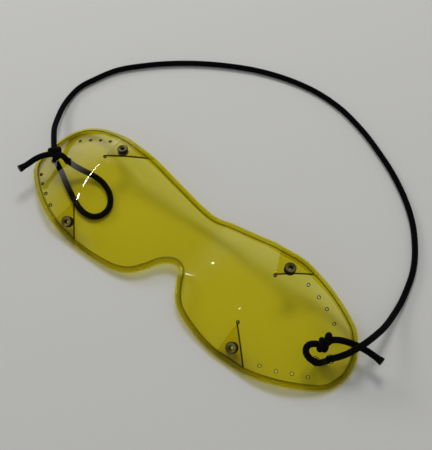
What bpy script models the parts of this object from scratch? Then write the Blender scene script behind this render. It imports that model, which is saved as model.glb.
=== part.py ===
"""Flexible goggles: one clear tinted sheet with a bound edge and four riveted darts, on a knotted elastic cord.

The goggles lie face side up on a table, rim down, as they were photographed. +X runs along them, +Y points
to the brow edge and +Z up. The origin is on the table, under the middle of the bound sheet.
"""

import math

import bmesh
import bpy
from mathutils import Vector
from mathutils.geometry import delaunay_2d_cdt, interpolate_bezier

MM = 0.001

# The whole bound sheet, seen from above
HALF_LENGTH = 95.0 * MM
HALF_HEIGHT = 29.9 * MM
CROWN = 16.0 * MM
FOLD_DROP = 9.5 * MM
FOLD_ROUND = 5.0 * MM
LEAN = 0.1 * MM

# The sheet and what is cut in it
SHEET = 0.6 * MM
GAP = 0.25 * MM
RELIEF_RADIUS = 1.25 * MM
VENT_RADIUS = 0.95 * MM
LAP_FADE = 9.0 * MM
MESH_STEP = 4.2 * MM

# The folded binding
BINDING_WIDTH = 3.0 * MM
BINDING_WALL = 0.5 * MM
FLAT_DEPTH = 0.5 * MM

# The eyelets and the washers behind them
EYELET_BORE = 1.35 * MM
EYELET_WALL = 0.3 * MM
FLANGE_RADIUS = 2.7 * MM
FLANGE_HEIGHT = 0.5 * MM
ROLL_RADIUS = 2.25 * MM
ROLL_HEIGHT = 0.4 * MM
WASHER_HEIGHT = 0.4 * MM
WASHER_RADIUS = 2.7 * MM
CURVE_ROOM = 0.12 * MM

# The elastic cord
CORD_RADIUS = 1.5 * MM
CORD_CLEARANCE = 0.6 * MM
KNOT_RADIUS = 3.0 * MM
KNOT_TURN = 1.4 * MM
LONG_STEP = 6.5 * MM
SHORT_STEP = 3.2 * MM
FLARE_SHARE = 1.12

# How finely the round shapes are drawn
EDGE_STEPS = 132
TURN_STEPS = 24
HOLE_STEPS = 12
OVERRUN = 6.0 * MM
WELD = 0.002 * MM

# The outline of the binding's outer edge, as shares of half the length and half the height
OUTLINE_SHARES = [
    (0.015, 0.76), (0.115, 0.81), (0.22, 0.83), (0.335, 0.865), (0.44, 0.87), (0.535, 0.90), (0.63, 0.875),
    (0.73, 0.825), (0.83, 0.72), (0.905, 0.60), (0.96, 0.40), (0.995, 0.16), (1.0, -0.13), (0.96, -0.43),
    (0.87, -0.66), (0.77, -0.835), (0.655, -0.955), (0.53, -1.0), (0.41, -1.005), (0.30, -0.95),
    (0.205, -0.855), (0.14, -0.72), (0.087, -0.50), (0.058, -0.335), (0.013, -0.285), (-0.038, -0.395),
    (-0.077, -0.61), (-0.13, -0.82), (-0.205, -0.935), (-0.31, -0.985), (-0.43, -1.0), (-0.54, -0.985),
    (-0.645, -0.93), (-0.755, -0.81), (-0.875, -0.59), (-0.965, -0.37), (-0.998, -0.15), (-1.005, 0.16),
    (-0.995, 0.43), (-0.975, 0.67), (-0.92, 0.87), (-0.815, 0.98), (-0.665, 0.945), (-0.535, 0.895),
    (-0.42, 0.875), (-0.31, 0.84), (-0.20, 0.805), (-0.093, 0.775),
]

# Stations of the formed sheet: how far out, then the cheek line's, the brow line's and the bulge's heights
STATION_SHARES = [
    (0.0, 0.175, 0.54, 0.02),
    (0.253, 0.14, 0.78, 0.20),
    (0.495, 0.12, 0.99, 0.35),
    (0.747, 0.375, 0.725, 0.44),
    (1.0, 0.32, 0.49, 0.275),
]

# Each dart: the relief hole, where its edges meet the outline inboard and outboard, and its eyelet
DART_SHARES = {
    "left_upper": ((-0.640, 0.40), (-0.452, 0.803), (-0.670, 0.847), (-0.594, 0.683)),
    "left_lower": ((-0.592, -0.483), (-0.480, -0.887), (-0.619, -0.817), (-0.561, -0.782)),
    "right_upper": ((0.466, 0.413), (0.408, 0.803), (0.574, 0.737), (0.500, 0.643)),
    "right_lower": ((0.462, -0.457), (0.459, -0.793), (0.592, -0.840), (0.508, -0.780)),
}

VENT_SHARES = [
    (-0.707, 0.740), (-0.768, 0.693), (-0.823, 0.613), (-0.875, 0.517),
    (-0.694, -0.746), (-0.764, -0.632), (-0.826, -0.518), (-0.886, -0.385),
    (0.612, 0.637), (0.684, 0.590), (0.745, 0.530), (0.811, 0.430),
    (0.661, -0.750), (0.736, -0.670), (0.798, -0.557), (0.862, -0.440),
]

# The cord's holes: the outer and the inner one at each end
HOLE_SHARES = {
    "left_outer": (-0.889, -0.047),
    "left_inner": (-0.804, 0.023),
    "right_outer": (0.891, -0.027),
    "right_inner": (0.846, -0.200),
}

# Which layer of each end lies on top at its darts: the end flap or the middle
FLAP_ON_TOP = {"left": True, "right": False}

# The half length and half height of the sheet that the cord's routes were laid out on, in millimetres
LAID_LENGTH = 95.0
LAID_HEIGHT = 29.9

# Where the cord swings from: the middle of the left knot and the spot over the right outer hole, in millimetres
LEFT_PIVOT = (-84.6, -0.6, 10.3)
RIGHT_PIVOT = (85.4, -1.0, 7.3)
RIGHT_KNOT = (79.6, 0.3, 11.3)

# The cord's routes, in millimetres from the origin, each read in order
HEAD_ROUTE = [
    (-87.1, 1.7, 10.0), (-90.2, 4.3, 9.4), (-95.0, 8.6, 8.2), (-99.6, 13.2, 6.6), (-104.7, 20.2, 4.4),
    (-109.2, 27.8, 2.6), (-111.9, 35.4, 1.7), (-112.9, 43.3, 1.5), (-111.4, 51.2, 1.5), (-105.9, 66.3, 1.5),
    (-95.5, 79.8, 1.5), (-84.2, 91.0, 1.5), (-73.2, 99.8, 1.5), (-62.1, 107.1, 1.5), (-50.0, 113.7, 1.5),
    (-38.8, 118.3, 1.5), (-26.8, 121.7, 1.5), (-15.1, 123.5, 1.5), (-4.5, 123.7, 1.5), (7.1, 122.3, 1.5),
    (17.0, 119.6, 1.5), (27.9, 115.6, 1.5), (38.8, 110.4, 1.5), (49.4, 104.7, 1.5), (59.0, 98.4, 1.5),
    (67.8, 91.4, 1.5), (75.5, 83.7, 1.5), (81.4, 75.9, 1.5), (86.3, 67.9, 1.5), (89.7, 60.2, 1.5),
    (91.9, 52.4, 1.5), (93.7, 43.5, 2.0), (94.6, 34.4, 3.9), (94.9, 26.2, 6.6), (94.3, 19.2, 9.4),
    (93.3, 12.9, 11.5), (92.1, 8.6, 12.2), (90.8, 5.3, 11.9), (89.3, 2.8, 10.7), (87.4, 0.7, 9.0),
    (85.4, -1.0, 7.3),
]
RIGHT_LOOP_ROUTE = [
    (84.76, -0.83, 5.6), (84.3, -0.8, 4.3), (83.6, -1.5, 2.7), (82.3, -3.0, 1.9), (80.9, -4.7, 2.5),
    (80.3, -5.8, 4.2), (80.4, -6.1, 6.2), (80.6, -6.9, 8.2), (79.9, -7.9, 9.7), (78.1, -8.1, 10.5),
    (76.0, -7.3, 10.7), (74.7, -5.5, 10.9), (74.8, -3.5, 11.1), (76.4, -1.7, 11.3),
]
RIGHT_TAIL_ROUTE = [
    (81.1, 3.9, 11.7), (83.2, 6.3, 10.9), (86.4, 8.5, 9.7), (90.3, 10.2, 8.6), (94.4, 11.1, 8.1),
    (98.6, 11.3, 8.0), (103.0, 11.0, 8.3),
]
LEFT_LOOP_ROUTE = [
    (-84.7, -1.45, 6.5), (-84.3, -1.4, 5.6), (-83.4, -1.4, 4.0), (-81.8, -1.9, 2.5), (-79.2, -2.9, 1.6),
    (-74.9, -5.1, 1.5), (-70.9, -7.0, 1.5), (-66.0, -9.2, 1.5), (-60.6, -11.4, 1.5), (-56.1, -12.8, 1.5),
    (-51.6, -13.1, 1.5), (-47.7, -11.8, 1.5), (-45.4, -8.6, 1.5), (-45.2, -4.5, 1.5), (-47.3, -0.4, 1.5),
    (-50.9, 2.8, 1.5), (-55.1, 4.8, 1.6), (-59.2, 5.7, 1.9), (-63.0, 5.6, 2.4), (-66.8, 4.7, 3.3),
    (-70.4, 3.3, 4.8), (-73.6, 1.9, 7.0), (-76.3, 0.8, 9.6), (-77.8, 0.3, 11.6), (-79.3, 0.0, 12.5),
    (-81.5, -0.25, 11.8),
]
LEFT_TAIL_ROUTE = [
    (-86.2, -3.5, 11.0), (-87.2, -5.9, 11.7), (-88.2, -10.0, 12.2), (-88.7, -14.2, 12.2), (-88.8, -18.5, 11.9),
]

LAP_LIFT = (SHEET + GAP) / 2
EYELET_RADIUS = EYELET_BORE + EYELET_WALL
STACK_HALF = LAP_LIFT + SHEET / 2 + GAP
LAP_MARGIN = math.radians(4)
LAP_TURN = math.radians(100)


def ease(share):
    """0 to 1 with a smooth start and end."""
    share = min(max(share, 0.0), 1.0)
    return share * share * (3 - 2 * share)


def place(share):
    """A point on the plan, from its shares."""
    return Vector((share[0] * HALF_LENGTH, share[1] * HALF_HEIGHT))


def along(points, steps, closed):
    """A smooth curve through the points, as many short steps between each two."""
    count = len(points)
    spans = count if closed else count - 1
    line = []
    for i in range(spans):
        before, a = points[i - 1 if closed or i else 0], points[i]
        b = points[(i + 1) % count]
        after = points[(i + 2) % count] if closed or i + 2 < count else b
        piece = interpolate_bezier(a, a + (b - before) / 6, b - (after - a) / 6, b, steps + 1)
        line += piece[:-1]
    return line if closed else line + [points[-1]]


def evenly(line, count, closed):
    """The line again, as count points the same distance apart."""
    line = line + [line[0]] if closed else line
    lengths = [0.0]
    for a, b in zip(line, line[1:]):
        lengths.append(lengths[-1] + (b - a).length)
    stops = count if closed else count - 1
    found, k = [], 0
    for i in range(count):
        want = lengths[-1] * i / stops
        while k < len(lengths) - 2 and lengths[k + 1] < want:
            k += 1
        share = (want - lengths[k]) / (lengths[k + 1] - lengths[k])
        found.append(line[k].lerp(line[k + 1], min(share, 1.0)))
    return found


def fitted(points):
    """The outline, stretched to the named length and height, about the origin."""
    low = Vector((min(p.x for p in points), min(p.y for p in points)))
    high = Vector((max(p.x for p in points), max(p.y for p in points)))
    middle, half = (low + high) / 2, (high - low) / 2
    return [Vector(((p.x - middle.x) / half.x * HALF_LENGTH, (p.y - middle.y) / half.y * HALF_HEIGHT)) for p in points]


OUTLINE = evenly(fitted(along([place(s).to_3d() for s in OUTLINE_SHARES], 6, True)), EDGE_STEPS, True)


def station(far, column):
    """One column of the stations, read smoothly at a share of the half length."""
    rows = [(-STATION_SHARES[1][0], STATION_SHARES[1][column])] + [(s[0], s[column]) for s in STATION_SHARES]
    rows.append((2 * rows[-1][0] - rows[-2][0], 2 * rows[-1][1] - rows[-2][1]))
    k = 1
    while k < len(rows) - 3 and rows[k + 1][0] < far:
        k += 1
    before, a, b, after = rows[k - 1:k + 3]
    span = b[0] - a[0]
    u = min((far - a[0]) / span, 1.5)
    rise_a = (b[1] - before[1]) / (b[0] - before[0]) * span
    rise_b = (after[1] - a[1]) / (after[0] - a[0]) * span
    return (
        (2 * u**3 - 3 * u**2 + 1) * a[1] + (u**3 - 2 * u**2 + u) * rise_a
        + (3 * u**2 - 2 * u**3) * b[1] + (u**3 - u**2) * rise_b
    )


def fold_line(side):
    """How far out the fold lies between one end's two relief holes."""
    tips = [DART_SHARES[f"{side}_{row}"][0][0] for row in ("upper", "lower")]
    return abs(sum(tips)) / 2 * HALF_LENGTH


FOLD_AT = {side: fold_line(side) for side in ("left", "right")}


def folded(x):
    """The share of the end flap's drop at this place along the sheet, rounded at the fold."""
    at = FOLD_AT["left" if x < 0 else "right"]
    reach = abs(x) - at
    whole = HALF_LENGTH - at
    return (reach + math.hypot(reach, FOLD_ROUND)) / (whole + math.hypot(whole, FOLD_ROUND))


def formed(x, y):
    """The height of the formed sheet's middle over the plan, before it is set down."""
    far = abs(x) / HALF_LENGTH
    across = (y / HALF_HEIGHT + 1) / 2
    cheek, brow, bulge = (station(far, column) * CROWN for column in (1, 2, 3))
    level = cheek * (1 - across) + brow * across + bulge * 4 * across * (1 - across)
    return level - FOLD_DROP * folded(x) + LEAN * x / HALF_LENGTH


def slopes(x, y):
    """How steeply the sheet climbs along X and along Y."""
    return (
        (formed(x + GAP, y) - formed(x - GAP, y)) / (2 * GAP),
        (formed(x, y + GAP) - formed(x, y - GAP)) / (2 * GAP),
    )


def facing(x, y):
    """The sheet's outward normal over a place on the plan."""
    climb_x, climb_y = slopes(x, y)
    return Vector((-climb_x, -climb_y, 1)).normalized()


def set_down():
    """How far the formed sheet comes down until the binding's lowest edge is cut flat by the table."""
    reach = SHEET / 2 + GAP + BINDING_WALL
    return min(formed(p.x, p.y) - reach * facing(p.x, p.y).z for p in OUTLINE) + FLAT_DEPTH


SET_DOWN = set_down()


def on_sheet(x, y, lift=0.0):
    """The point over a place on the plan that is lift out from the sheet's middle."""
    return Vector((x, y, formed(x, y) - SET_DOWN)) + facing(x, y) * lift


def dart(name):
    """A dart's relief hole, its two edges' ends past the outline, and the direction down its middle."""
    tip, inboard, outboard, _ = (place(s) for s in DART_SHARES[name])
    ends = []
    for end in (inboard, outboard):
        way = (end - tip).normalized()
        ends.append(tip + way * (HALF_HEIGHT + OVERRUN - abs(tip.y)) / abs(way.y))
    ways = [(end - tip).normalized() for end in ends]
    return tip, ends[0], ends[1], (ways[0] + ways[1]).normalized(), ways[0].angle(ways[1]) / 2


DARTS = {name: dart(name) for name in DART_SHARES}


def lapped(x, y):
    """How fully the two layers are spread apart here: 1 in a dart, fading out beside it."""
    most = 0.0
    for tip, _, _, middle, half in DARTS.values():
        way = Vector((x, y)) - tip
        if way.length < WELD:
            continue
        past = max(way.angle(middle) - half - LAP_MARGIN, 0.0)
        aside = way.length * math.sin(min(past, math.pi / 2))
        most = max(most, (1 - ease(past / LAP_TURN)) * (1 - ease(aside / LAP_FADE)))
    return most


def clear_of_edge(share, radius):
    """A place on the plan, moved in where a round piece of that radius would meet the binding."""
    spot = place(share)
    nearest = min(OUTLINE, key=lambda p: (on_sheet(p.x, p.y) - on_sheet(spot.x, spot.y)).length)
    room = (on_sheet(nearest.x, nearest.y) - on_sheet(spot.x, spot.y)).length
    short = BINDING_WIDTH + radius + GAP - room
    return spot + (spot - nearest).normalized() * max(short, 0)


def laid(point):
    """A point of a cord's route, in metres, moved with the sheet's length and height."""
    return Vector((point[0] * HALF_LENGTH / LAID_LENGTH, point[1] * HALF_HEIGHT / LAID_HEIGHT, point[2] * MM))


def inset(loop, distance):
    """A loop on the plan, moved in along the sheet by a distance."""
    moved = []
    for i, p in enumerate(loop):
        run = (loop[(i + 1) % len(loop)] - loop[i - 1]).normalized()
        inward = Vector((run.y, -run.x))
        climb_x, climb_y = slopes(p.x, p.y)
        climb = climb_x * inward.x + climb_y * inward.y
        moved.append(p + inward * distance / math.hypot(1, climb))
    return moved


def ring(centre, radius, steps):
    """A round hole's edge on the sheet, as a loop on the plan."""
    climb_x, climb_y = slopes(centre.x, centre.y)
    side = Vector((1, 0, climb_x)).normalized()
    up = facing(centre.x, centre.y).cross(side)
    turns = (2 * math.pi * i / steps for i in range(steps))
    return [centre + ((side * math.cos(t) + up * math.sin(t)) * radius).to_2d() for t in turns]


def inside(p, loop):
    """Whether a point on the plan lies within a loop."""
    found = False
    for a, b in zip(loop, loop[1:] + loop[:1]):
        if (a.y > p.y) != (b.y > p.y) and p.x < a.x + (p.y - a.y) / (b.y - a.y) * (b.x - a.x):
            found = not found
    return found


def material(name, colour, roughness, metallic=0.0, alpha=1.0):
    """A plain finish."""
    made = bpy.data.materials.new(name)
    made.use_nodes = True
    shader = made.node_tree.nodes["Principled BSDF"]
    shader.inputs["Base Color"].default_value = (*colour, 1.0)
    shader.inputs["Roughness"].default_value = roughness
    shader.inputs["Metallic"].default_value = metallic
    shader.inputs["Alpha"].default_value = alpha
    return made


def add(name, data, finish, collection):
    """A named object in a collection."""
    made = bpy.data.objects.new(name, data)
    made.data.materials.append(finish)
    collection.objects.link(made)
    return made


def smooth(mesh):
    """Smooth shading with crisp corners."""
    mesh.shade_smooth()
    mesh.set_sharp_from_angle(angle=math.radians(35))


def stepped(a, b):
    """A straight line from one point on the plan to another, in short steps, without its last point."""
    steps = max(1, round((b - a).length / MESH_STEP))
    return [a.lerp(b, i / steps) for i in range(steps)]


def seam(side):
    """The line from an end's upper relief hole to its lower one, where the end flap goes on into the middle."""
    return stepped(DARTS[f"{side}_upper"][0], DARTS[f"{side}_lower"][0])


def flap_bounds(side):
    """The loop round an end flap: its two inboard cut edges, the seam between them, and past the end."""
    sign = -1 if side == "left" else 1
    up_tip, up_end = DARTS[f"{side}_upper"][:2]
    low_tip, low_end = DARTS[f"{side}_lower"][:2]
    past = sign * (HALF_LENGTH + OVERRUN)
    round_end = [low_end, Vector((past, low_end.y)), Vector((past, up_end.y))]
    return stepped(up_end, up_tip) + seam(side) + stepped(low_tip, low_end) + round_end


def middle_bounds():
    """The loop round the middle: its four outboard cut edges and the seams between them."""
    left_up, left_low = DARTS["left_upper"], DARTS["left_lower"]
    right_up, right_low = DARTS["right_upper"], DARTS["right_lower"]
    return (
        stepped(left_up[2], right_up[2]) + stepped(right_up[2], right_up[0]) + seam("right")
        + stepped(right_low[0], right_low[2]) + stepped(right_low[2], left_low[2])
        + stepped(left_low[2], left_low[0]) + [left_low[0]] + seam("left")[:0:-1] + stepped(left_up[0], left_up[2])
    )


def add_layer(bm, bounds, lift, edge, holes):
    """Adds the part of the sheet within bounds, punched with the holes and lifted beside the darts."""
    points, edges = [], []
    for loop in (edge, bounds, *holes):
        start = len(points)
        points += loop
        edges += [(start + i, start + (i + 1) % len(loop)) for i in range(len(loop))]
    fixed = list(points)
    columns, rows = (round(half / MESH_STEP) for half in (HALF_LENGTH, HALF_HEIGHT))
    for i in range(-columns, columns + 1):
        for j in range(-rows, rows + 1):
            p = Vector(((i + j % 2 / 2) * MESH_STEP, j * MESH_STEP))
            if inside(p, edge) and min((p - q).length_squared for q in fixed) > (MESH_STEP / 3)**2:
                points.append(p)
    found, _, faces, _, _, _ = delaunay_2d_cdt(points, edges, [], 0, WELD)
    vertices = {}
    for face in faces:
        middle = sum((found[i] for i in face), Vector((0, 0))) / len(face)
        if not inside(middle, edge) or not inside(middle, bounds) or any(inside(middle, h) for h in holes):
            continue
        for i in face:
            if i not in vertices:
                x, y = found[i]
                vertices[i] = bm.verts.new(on_sheet(x, y, lift(x) * LAP_LIFT * lapped(x, y)))
        bm.faces.new([vertices[i] for i in face])


def lens_sheet(finish, collection):
    """The one clear sheet, cut, punched and formed: a middle and two end flaps that lap at the darts."""
    holes = [ring(place(s[0]), RELIEF_RADIUS, HOLE_STEPS) for s in DART_SHARES.values()]
    holes += [ring(clear_of_edge(s[3], WASHER_RADIUS), EYELET_RADIUS + GAP, HOLE_STEPS) for s in DART_SHARES.values()]
    holes += [ring(place(s), CORD_RADIUS + CORD_CLEARANCE, HOLE_STEPS) for s in HOLE_SHARES.values()]
    holes += [ring(clear_of_edge(s, VENT_RADIUS), VENT_RADIUS, HOLE_STEPS - 2) for s in VENT_SHARES]
    edge = inset(OUTLINE, BINDING_WALL + GAP)
    flap_lift = {side: 1 if on_top else -1 for side, on_top in FLAP_ON_TOP.items()}
    bm = bmesh.new()
    for side, lift in flap_lift.items():
        add_layer(bm, flap_bounds(side), lambda x: lift, edge, holes)
    add_layer(bm, middle_bounds(), lambda x: -flap_lift["left" if x < 0 else "right"], edge, holes)
    bmesh.ops.remove_doubles(bm, verts=bm.verts, dist=WELD)
    mesh = bpy.data.meshes.new("lens_sheet")
    bm.to_mesh(mesh)
    bm.free()
    made = add("lens_sheet", mesh, finish, collection)
    solid = made.modifiers.new("Thickness", "SOLIDIFY")
    solid.thickness = SHEET
    solid.offset = 0
    smooth(mesh)


def binding_section(p, inward):
    """The folded binding's cross section at one place on the outline, from one lip round the fold to the other."""
    climb_x, climb_y = slopes(p.x, p.y)
    shrink = 1 / math.hypot(1, climb_x * inward.x + climb_y * inward.y)

    def at(depth, outer, side):
        q = p + inward * depth * shrink
        half = SHEET / 2 + GAP + LAP_LIFT * lapped(q.x, q.y) + outer
        return on_sheet(q.x, q.y, side * half)

    top = [at(BINDING_WIDTH, 0, 1), at(BINDING_WIDTH, BINDING_WALL, 1), at(BINDING_WIDTH / 2, BINDING_WALL, 1)]
    top += [at(BINDING_WALL, BINDING_WALL * 0.85, 1), at(BINDING_WALL / 5, 0, 1)]
    low = [at(BINDING_WALL / 5, 0, -1), at(BINDING_WALL, BINDING_WALL * 0.85, -1)]
    low += [at(BINDING_WIDTH / 2, BINDING_WALL, -1), at(BINDING_WIDTH, BINDING_WALL, -1), at(BINDING_WIDTH, 0, -1)]
    return top + low + [at(BINDING_WIDTH / 2, 0, -1), at(BINDING_WALL, 0, -1), at(BINDING_WALL, 0, 1),
                        at(BINDING_WIDTH / 2, 0, 1)]


def edge_binding(finish, collection, cutters):
    """The folded strip all round the edge, resting flat on the table where it touches."""
    bm = bmesh.new()
    rings = []
    for i, p in enumerate(OUTLINE):
        run = (OUTLINE[(i + 1) % len(OUTLINE)] - OUTLINE[i - 1]).normalized()
        section = [bm.verts.new(co) for co in binding_section(p, Vector((run.y, -run.x)))]
        rings.append([bm.edges.new((a, b)) for a, b in zip(section, section[1:] + section[:1])])
    for one, other in zip(rings, rings[1:] + rings[:1]):
        bmesh.ops.bridge_loops(bm, edges=one + other)
    bmesh.ops.recalc_face_normals(bm, faces=bm.faces)
    bmesh.ops.triangulate(bm, faces=bm.faces)
    mesh = bpy.data.meshes.new("edge_binding")
    bm.to_mesh(mesh)
    bm.free()
    made = add("edge_binding", mesh, finish, collection)
    smooth(mesh)
    bm = bmesh.new()
    bmesh.ops.create_cube(bm, size=1)
    bmesh.ops.scale(bm, vec=(3 * HALF_LENGTH, 3 * HALF_HEIGHT, CROWN), verts=bm.verts)
    bmesh.ops.translate(bm, vec=(0, 0, -CROWN / 2), verts=bm.verts)
    block = bpy.data.meshes.new("table_cut")
    bm.to_mesh(block)
    bm.free()
    cutter = add("table_cut", block, finish, cutters)
    cutter.hide_render = True
    cutter.display_type = "WIRE"
    flat = made.modifiers.new("Flat rest", "BOOLEAN")
    flat.object = cutter
    flat.operation = "DIFFERENCE"
    flat.solver = "EXACT"


def turned(name, profile, finish, collection, share):
    """A piece turned from a closed profile of radius and height, set on the sheet at a place."""
    bm = bmesh.new()
    points = [bm.verts.new((radius, 0, height)) for radius, height in profile]
    line = [bm.edges.new((a, b)) for a, b in zip(points, points[1:] + points[:1])]
    bmesh.ops.spin(
        bm, geom=points + line, cent=(0, 0, 0), axis=(0, 0, 1), angle=2 * math.pi, steps=TURN_STEPS, use_merge=True
    )
    bmesh.ops.recalc_face_normals(bm, faces=bm.faces)
    mesh = bpy.data.meshes.new(name)
    bm.to_mesh(mesh)
    bm.free()
    smooth(mesh)
    made = add(name, mesh, finish, collection)
    spot = clear_of_edge(share, WASHER_RADIUS)
    made.location = on_sheet(spot.x, spot.y)
    made.rotation_euler = Vector((0, 0, 1)).rotation_difference(facing(spot.x, spot.y)).to_euler()


def eyelet(where, share, finish, collection):
    """A flanged eyelet set down through both layers and rolled out behind the washer."""
    top = STACK_HALF
    roll = -STACK_HALF - CURVE_ROOM - WASHER_HEIGHT - GAP
    profile = [
        (EYELET_BORE, top + FLANGE_HEIGHT * 0.5), (EYELET_RADIUS, top + FLANGE_HEIGHT),
        (FLANGE_RADIUS * 0.82, top + FLANGE_HEIGHT * 0.8), (FLANGE_RADIUS, top + FLANGE_HEIGHT * 0.25),
        (FLANGE_RADIUS * 0.98, top), (EYELET_RADIUS, top), (EYELET_RADIUS, roll),
        (ROLL_RADIUS * 0.95, roll), (ROLL_RADIUS, roll - ROLL_HEIGHT * 0.4),
        (EYELET_RADIUS * 1.1, roll - ROLL_HEIGHT), (EYELET_BORE, roll - ROLL_HEIGHT * 0.6),
    ]
    turned(f"eyelet_{where}", profile, finish, collection, share)


def washer(where, share, finish, collection):
    """The flat ring behind the lapped layers that the eyelet is rolled against."""
    top = -STACK_HALF - CURVE_ROOM
    inner = EYELET_RADIUS + GAP
    profile = [
        (inner, top), (WASHER_RADIUS, top), (WASHER_RADIUS, top - WASHER_HEIGHT), (inner, top - WASHER_HEIGHT),
    ]
    turned(f"washer_{where}", profile, finish, collection, share)


def strand(name, route, step, finish, collection, flared=False, ball=False):
    """A stretch of the cord: a round tube along a smooth route, flared at a cut end or rounded at a pivot."""
    line = along([laid(p) for p in route], 8, False)
    length = sum((b - a).length for a, b in zip(line, line[1:]))
    line = evenly(line, max(3, round(length / step) + 1), False)
    swell = [1.0] * len(line)
    if flared:
        swell[-1] = FLARE_SHARE
    if ball:
        end, back = line[-1], (line[-2] - line[-1]).normalized()
        turns = [math.radians(a) for a in (72, 48, 24, 0)]
        line = line[:-1] + [end - back * CORD_RADIUS * math.sin(t) for t in turns[::-1]]
        swell = swell[:-1] + [math.cos(t) for t in turns[::-1]]
    curve = bpy.data.curves.new(name, "CURVE")
    curve.dimensions = "3D"
    curve.bevel_depth = CORD_RADIUS
    curve.bevel_resolution = 2
    curve.use_fill_caps = True
    spline = curve.splines.new("POLY")
    spline.points.add(len(line) - 1)
    for point, co, share in zip(spline.points, line, swell):
        point.co = (*co, 1)
        point.radius = share
    source = bpy.data.objects.new(f"{name}_route", curve)
    collection.objects.link(source)
    bpy.context.view_layer.update()
    graph = bpy.context.evaluated_depsgraph_get()
    mesh = bpy.data.meshes.new_from_object(source.evaluated_get(graph))
    bpy.data.objects.remove(source)
    bm = bmesh.new()
    bm.from_mesh(mesh)
    bmesh.ops.remove_doubles(bm, verts=bm.verts, dist=WELD)
    bmesh.ops.recalc_face_normals(bm, faces=bm.faces)
    bm.to_mesh(mesh)
    bm.free()
    mesh.name = name
    mesh.materials.clear()
    smooth(mesh)
    return add(name, mesh, finish, collection), length


def knot(name, spot, tilt, finish, collection):
    """An overhand knot pulled tight: a turn of the cord closed over its own middle."""
    bm = bmesh.new()
    bmesh.ops.create_uvsphere(bm, u_segments=TURN_STEPS - 4, v_segments=HOLE_STEPS - 2, radius=KNOT_RADIUS * 0.9)
    around = Vector((0, 0, 1)).rotation_difference(Vector(tilt)).to_matrix()
    groove = KNOT_RADIUS * 0.9 - KNOT_TURN / 2
    for vertex in bm.verts:
        height = vertex.co.z / KNOT_RADIUS
        pinch = KNOT_TURN / 4 * (math.cos(height * 2 * math.pi) - 1) / 2
        vertex.co += vertex.co.normalized() * pinch * (vertex.co.xy.length / groove)
        vertex.co = around @ vertex.co * (1 / 0.9)
    mesh = bpy.data.meshes.new(name)
    bm.to_mesh(mesh)
    bm.free()
    smooth(mesh)
    made = add(name, mesh, finish, collection)
    made.location = laid(spot)


def build():
    """Makes every piece in a collection of its own."""
    for old in list(bpy.data.objects):
        bpy.data.objects.remove(old)
    parts = bpy.data.collections.new("goggles")
    cutters = bpy.data.collections.new("cutters")
    bpy.context.scene.collection.children.link(parts)
    bpy.context.scene.collection.children.link(cutters)
    lens_sheet(material("clear_tinted_sheet", (0.62, 0.56, 0.04), 0.12, alpha=0.45), parts)
    edge_binding(material("tinted_binding", (0.42, 0.36, 0.01), 0.25, alpha=0.8), parts, cutters)
    for where, shares in DART_SHARES.items():
        dark = material(f"dark_eyelet_{where}", (0.06, 0.055, 0.045), 0.35, metallic=1.0)
        eyelet(where, shares[3], dark, parts)
        washer(where, shares[3], material(f"dark_washer_{where}", (0.08, 0.075, 0.06), 0.45, metallic=1.0), parts)
    black = (0.012, 0.012, 0.014)
    strand("cord_left_loop", LEFT_LOOP_ROUTE, SHORT_STEP, material("braid_left_loop", black, 0.8), parts)
    strand("cord_left_tail", LEFT_TAIL_ROUTE, SHORT_STEP, material("braid_left_tail", black, 0.8), parts, flared=True)
    strand("cord_right_loop", RIGHT_LOOP_ROUTE, SHORT_STEP / 2, material("braid_right_loop", black, 0.8), parts)
    strand("cord_right_tail", RIGHT_TAIL_ROUTE, SHORT_STEP, material("braid_right_tail", black, 0.8), parts, flared=True)
    knot("cord_left_knot", LEFT_PIVOT, (0.9, 0.3, 0.2), material("braid_left_knot", black, 0.8), parts)
    knot("cord_right_knot", RIGHT_KNOT, (0.8, 0.5, 0.1), material("braid_right_knot", black, 0.8), parts)
    pivot = bpy.data.objects.new("swing_axis", None)
    parts.objects.link(pivot)
    pivot.location = laid(LEFT_PIVOT)
    head, _ = strand("head_cord", HEAD_ROUTE, LONG_STEP, material("braid_head_cord", black, 0.8), parts, ball=True)
    head.parent = pivot
    head.location = -pivot.location


build()
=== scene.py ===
"""Flexible goggles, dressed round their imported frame: tinted sheet, folded binding, eyelets and elastic."""

import math

import bmesh
import bpy
from mathutils import Matrix, Vector, kdtree
from mathutils.geometry import delaunay_2d_cdt, interpolate_bezier


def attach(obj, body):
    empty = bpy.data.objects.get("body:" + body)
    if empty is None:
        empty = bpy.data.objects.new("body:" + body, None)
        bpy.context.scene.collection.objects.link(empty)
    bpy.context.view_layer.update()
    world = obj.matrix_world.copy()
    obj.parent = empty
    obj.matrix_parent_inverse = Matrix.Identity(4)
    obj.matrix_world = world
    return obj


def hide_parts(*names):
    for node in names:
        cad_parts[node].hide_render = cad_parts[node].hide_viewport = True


bl_info = {
    "name": "Flexible goggles",
    "version": (1, 0, 0),
    "blender": (4, 5, 0),
    "location": "View3D > Sidebar > Goggles",
    "description": "Builds the visible pieces of the goggles round their packed frame",
    "category": "Add Mesh",
}

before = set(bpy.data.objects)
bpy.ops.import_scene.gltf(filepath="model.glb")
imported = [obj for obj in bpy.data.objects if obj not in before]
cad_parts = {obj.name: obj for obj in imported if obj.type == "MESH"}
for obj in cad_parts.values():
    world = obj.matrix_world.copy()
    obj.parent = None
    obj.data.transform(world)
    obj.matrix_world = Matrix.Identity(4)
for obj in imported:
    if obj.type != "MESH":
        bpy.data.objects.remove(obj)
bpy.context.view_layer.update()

MM = 0.001

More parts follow.
